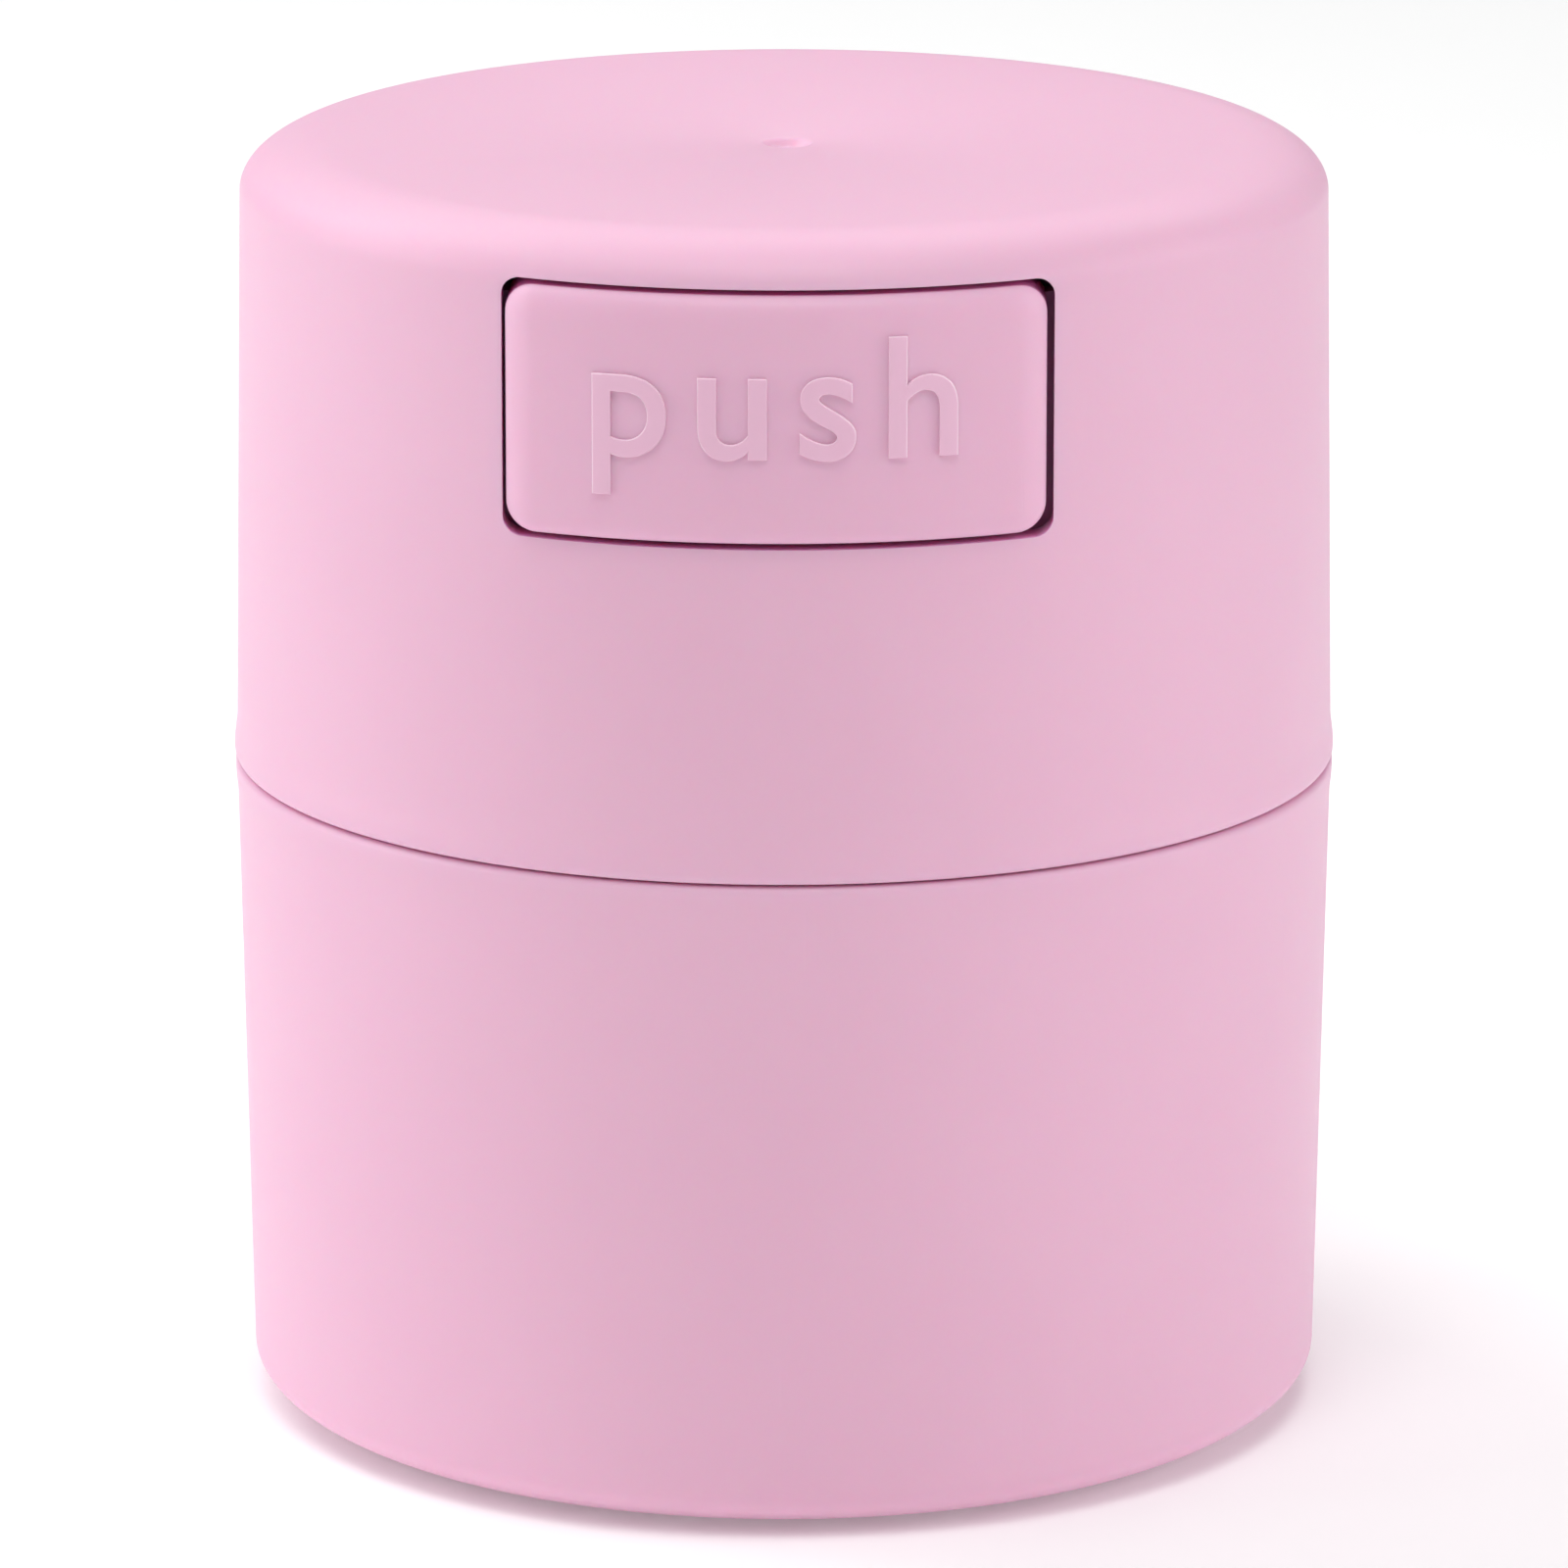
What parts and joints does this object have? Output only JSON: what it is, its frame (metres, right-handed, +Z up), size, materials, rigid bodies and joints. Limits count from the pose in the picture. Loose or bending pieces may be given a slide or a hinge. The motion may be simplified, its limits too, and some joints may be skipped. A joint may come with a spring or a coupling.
{
  "type": "push-button airtight canister",
  "caption": "Small round airtight canister: base with an inner cup, deep push-on lid with a side vent button, springs and a sealing valve.",
  "frame": {"origin": "centre of the base's flat foot", "axes": "+Z up along the canister's axis, the button faces -Y, +X to the right seen from the button's side"},
  "size_m": [0.0618, 0.0618, 0.072],
  "materials": {
    "pink_shell": "satin moulded",
    "pink_button": "satin moulded",
    "white_liner": "smooth moulded",
    "silicone": "soft matte",
    "white_guide": "satin moulded",
    "spring_steel": "bright drawn wire",
    "screw_steel": "zinc plated"
  },
  "bodies": {
    "base": {"base_shell": "pink_shell", "storage_cup": "white_liner"},
    "seal": {"neck_seal_ring": "silicone"},
    "lid": {"lid_shell": "pink_shell", "lid_liner": "white_liner", "button_guide": "white_guide", "guide_screw_left": "screw_steel", "guide_screw_right": "screw_steel"},
    "button": {"push_button": "pink_button", "valve_stem": "white_guide", "valve_disc": "silicone", "valve_clip": "spring_steel", "return_spring_left": "spring_steel", "return_spring_right": "spring_steel"}
  },
  "joints": [
    {"name": "lid_turn", "type": "hinge", "parent": "base", "child": "seal", "pos_m": [0, 0, 0.0372], "axis": [0, 0, 1], "continuous": true},
    {"name": "lid_lift", "type": "slide", "parent": "seal", "child": "lid", "axis": [0, 0, 1], "range_m": [0, 0.055]},
    {"name": "button_press", "type": "slide", "parent": "lid", "child": "button", "axis": [0, 1, 0], "range_m": [0, 0.002], "stiffness_N_per_m": 1500, "springref_m": -0.001, "deforming": ["return_spring_left", "return_spring_right"]}
  ]
}
